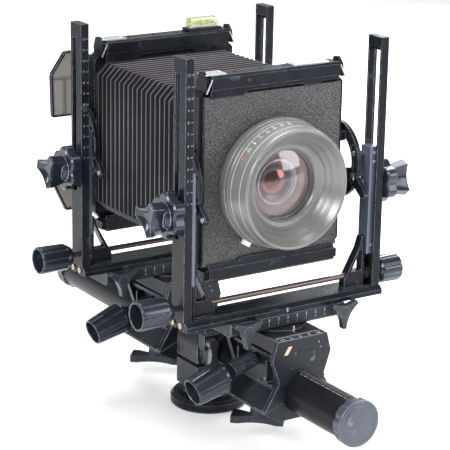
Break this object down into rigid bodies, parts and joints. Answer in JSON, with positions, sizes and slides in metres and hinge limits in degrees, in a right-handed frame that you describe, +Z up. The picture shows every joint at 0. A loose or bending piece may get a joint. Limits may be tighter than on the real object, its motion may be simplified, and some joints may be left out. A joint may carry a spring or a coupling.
{
  "type": "view camera",
  "caption": "Geared monorail view camera: U-shaped standards on a tubular rail with tripod foot, square bellows, lens on a board and a ground-glass back.",
  "frame": {"origin": "centre of the foot's underside, on the tripod socket's axis", "axes": "+Z up, the lens looks along -Y, +X is to the right seen from in front of the lens"},
  "size_m": [0.282, 0.501, 0.3624],
  "materials": {
    "bellows": "pleated coated cloth",
    "black_metal": "satin black anodised metal",
    "blue_metal": "blue-grey anodised aluminium",
    "board": "black crinkle finish",
    "brass": "turned brass",
    "ground_glass": "finely ground glass",
    "knob": "glossy dark moulded plastic",
    "lens_glass": "coated optical glass",
    "lens_metal": "satin pale grey enamel",
    "level": "clear acrylic with a vial",
    "lever": "cast lever, grey enamel",
    "rack_steel": "bright machined steel",
    "rail_metal": "black anodised tube",
    "rod": "browned steel rod",
    "smoked": "smoked acrylic",
    "steel": "machined steel"
  },
  "bodies": {
    "rail_clamp": {"clamp_block": "black_metal", "foot": "black_metal"},
    "clamp_lever": {"clamp_lever": "steel"},
    "rail": {"rail_tube": "rail_metal", "rail_rack": "rack_steel", "rail_caps": "lever", "bellows": "bellows"},
    "front_carriage": {"front_carriage": "black_metal", "front_jaw": "black_metal"},
    "front_jaw_lever": {"front_jaw_lever": "lever"},
    "front_focus_drive": {"front_focus_shaft": "black_metal", "front_focus_knob": "knob"},
    "front_head": {"front_swing_head": "black_metal", "front_shift_bar": "black_metal"},
    "front_shift_lock": {"front_shift_lock": "lever"},
    "front_swing_lock": {"front_swing_lock": "lever"},
    "front_u_frame": {"front_base_bar": "black_metal", "front_post_left": "black_metal", "front_post_right": "black_metal", "front_screws": "brass"},
    "front_rise_drive": {"front_rise_shaft": "rod", "front_rise_knobs": "knob"},
    "front_carriers": {"front_carriers": "blue_metal"},
    "front_clamp_knob_left": {"front_clamp_knob_left": "knob"},
    "front_clamp_knob_right": {"front_clamp_knob_right": "knob"},
    "front_frame": {"front_tilt_arcs": "black_metal", "front_frame": "black_metal", "front_board_clamps": "black_metal", "lens_board": "board", "lens_barrel": "lens_metal", "front_glass": "lens_glass", "rear_cell": "black_metal"},
    "rear_carriage": {"rear_carriage": "black_metal", "rear_jaw": "black_metal"},
    "rear_jaw_lever": {"rear_jaw_lever": "lever"},
    "rear_focus_drive": {"rear_focus_shaft": "black_metal", "rear_focus_knob": "knob"},
    "rear_head": {"rear_swing_head": "black_metal", "rear_shift_bar": "black_metal"},
    "rear_shift_lock": {"rear_shift_lock": "lever"},
    "rear_swing_lock": {"rear_swing_lock": "lever"},
    "rear_u_frame": {"rear_base_bar": "black_metal", "rear_post_left": "black_metal", "rear_post_right": "black_metal", "rear_screws": "brass"},
    "rear_rise_drive": {"rear_rise_shaft": "rod", "rear_rise_knobs": "knob"},
    "rear_carriers": {"rear_carriers": "blue_metal"},
    "rear_clamp_knob_left": {"rear_clamp_knob_left": "knob"},
    "rear_clamp_knob_right": {"rear_clamp_knob_right": "knob"},
    "rear_frame": {"rear_tilt_arcs": "black_metal", "rear_frame": "black_metal", "rear_board_clamps": "black_metal", "spirit_level": "level", "glass_back": "black_metal", "ground_glass": "ground_glass", "smoked_panels": "smoked"},
    "iris_ring": {"iris_ring": "lens_metal"}
  },
  "joints": [
    {"name": "clamp_lever_turn", "type": "hinge", "parent": "rail_clamp", "child": "clamp_lever", "pos_m": [-0.027, -0.045, 0.077], "axis": [0, 1, 0], "range_deg": [0, 60]},
    {"name": "rail_slide", "type": "slide", "parent": "rail_clamp", "child": "rail", "axis": [0, 1, 0], "range_m": [-0.004, 0.025]},
    {"name": "front_focus", "type": "slide", "parent": "rail", "child": "front_carriage", "axis": [0, -1, 0], "range_m": [-0.005, 0.035], "deforming": ["bellows"]},
    {"name": "front_focus_turn", "type": "hinge", "parent": "front_carriage", "child": "front_focus_drive", "pos_m": [0, -0.113, 0.09345], "axis": [-0.9532, 0, -0.3024], "range_deg": [-168.1, 24.9]},
    {"name": "front_jaw_lever_turn", "type": "hinge", "parent": "front_carriage", "child": "front_jaw_lever", "pos_m": [-0.016, -0.107, 0.034], "axis": [0, 0, 1], "range_deg": [-60, 60]},
    {"name": "front_swing", "type": "hinge", "parent": "front_carriage", "child": "front_head", "pos_m": [0, -0.111, 0.111], "axis": [0, 0, 1], "range_deg": [-10, 10], "deforming": ["bellows"]},
    {"name": "front_shift_lock_turn", "type": "hinge", "parent": "front_head", "child": "front_shift_lock", "pos_m": [0.058, -0.129, 0.119], "axis": [0, 1, 0], "range_deg": [-45, 45]},
    {"name": "front_swing_lock_turn", "type": "hinge", "parent": "front_head", "child": "front_swing_lock", "pos_m": [-0.046, -0.129, 0.119], "axis": [0, 1, 0], "range_deg": [-45, 45]},
    {"name": "front_shift", "type": "slide", "parent": "front_head", "child": "front_u_frame", "axis": [1, 0, 0], "range_m": [-0.02, 0.02], "deforming": ["bellows"]},
    {"name": "front_rise", "type": "slide", "parent": "front_u_frame", "child": "front_carriers", "axis": [0, 0, 1], "range_m": [-0.008, 0.03], "deforming": ["bellows"]},
    {"name": "front_rise_turn", "type": "hinge", "parent": "front_u_frame", "child": "front_rise_drive", "pos_m": [0, -0.111, 0.1445], "axis": [1, 0, 0], "range_deg": [-82.9, 307.9]},
    {"name": "front_clamp_left_turn", "type": "hinge", "parent": "front_carriers", "child": "front_clamp_knob_left", "pos_m": [-0.11, -0.1081, 0.2285], "axis": [-1, 0, 0], "range_deg": [-90, 180]},
    {"name": "front_clamp_right_turn", "type": "hinge", "parent": "front_carriers", "child": "front_clamp_knob_right", "pos_m": [0.11, -0.1081, 0.2285], "axis": [1, 0, 0], "range_deg": [-90, 180]},
    {"name": "front_tilt", "type": "hinge", "parent": "front_carriers", "child": "front_frame", "pos_m": [0, -0.076, 0.2465], "axis": [1, 0, 0], "range_deg": [-10, 10], "deforming": ["bellows"]},
    {"name": "rear_focus", "type": "slide", "parent": "rail", "child": "rear_carriage", "axis": [0, 1, 0], "range_m": [-0.003, 0.035], "deforming": ["bellows"]},
    {"name": "rear_focus_turn", "type": "hinge", "parent": "rear_carriage", "child": "rear_focus_drive", "pos_m": [0, 0.0645, 0.09345], "axis": [-0.9532, 0, -0.3024], "range_deg": [-15.3, 168.1]},
    {"name": "rear_jaw_lever_turn", "type": "hinge", "parent": "rear_carriage", "child": "rear_jaw_lever", "pos_m": [-0.016, 0.0705, 0.034], "axis": [0, 0, 1], "range_deg": [-60, 60]},
    {"name": "rear_swing", "type": "hinge", "parent": "rear_carriage", "child": "rear_head", "pos_m": [0, 0.0665, 0.111], "axis": [0, 0, 1], "range_deg": [-10, 10], "deforming": ["bellows"]},
    {"name": "rear_shift_lock_turn", "type": "hinge", "parent": "rear_head", "child": "rear_shift_lock", "pos_m": [0.058, 0.0485, 0.119], "axis": [0, 1, 0], "range_deg": [-45, 45]},
    {"name": "rear_swing_lock_turn", "type": "hinge", "parent": "rear_head", "child": "rear_swing_lock", "pos_m": [-0.068, 0.0485, 0.119], "axis": [0, 1, 0], "range_deg": [-45, 45]},
    {"name": "rear_shift", "type": "slide", "parent": "rear_head", "child": "rear_u_frame", "axis": [1, 0, 0], "range_m": [-0.02, 0.02], "deforming": ["bellows"]},
    {"name": "rear_rise", "type": "slide", "parent": "rear_u_frame", "child": "rear_carriers", "axis": [0, 0, 1], "range_m": [-0.008, 0.03], "deforming": ["bellows"]},
    {"name": "rear_rise_turn", "type": "hinge", "parent": "rear_u_frame", "child": "rear_rise_drive", "pos_m": [0, 0.0665, 0.1445], "axis": [1, 0, 0], "range_deg": [-82.9, 307.9]},
    {"name": "rear_clamp_left_turn", "type": "hinge", "parent": "rear_carriers", "child": "rear_clamp_knob_left", "pos_m": [-0.11, 0.0694, 0.2285], "axis": [-1, 0, 0], "range_deg": [-90, 180]},
    {"name": "rear_clamp_right_turn", "type": "hinge", "parent": "rear_carriers", "child": "rear_clamp_knob_right", "pos_m": [0.11, 0.0694, 0.2285], "axis": [1, 0, 0], "range_deg": [-90, 180]},
    {"name": "rear_tilt", "type": "hinge", "parent": "rear_carriers", "child": "rear_frame", "pos_m": [0, 0.1015, 0.2465], "axis": [1, 0, 0], "range_deg": [-10, 10], "deforming": ["bellows"]},
    {"name": "iris_turn", "type": "hinge", "parent": "front_frame", "child": "iris_ring", "pos_m": [0, -0.105, 0.241], "axis": [0, -1, 0], "range_deg": [0, 75]}
  ],
  "couplings": [
    {"joint": "front_focus_turn", "follows": "front_focus", "rad_per_m": -83.333},
    {"joint": "front_rise_turn", "follows": "front_rise", "rad_per_m": 178.57},
    {"joint": "rear_focus_turn", "follows": "rear_focus", "rad_per_m": 83.333},
    {"joint": "rear_rise_turn", "follows": "rear_rise", "rad_per_m": 178.57}
  ]
}
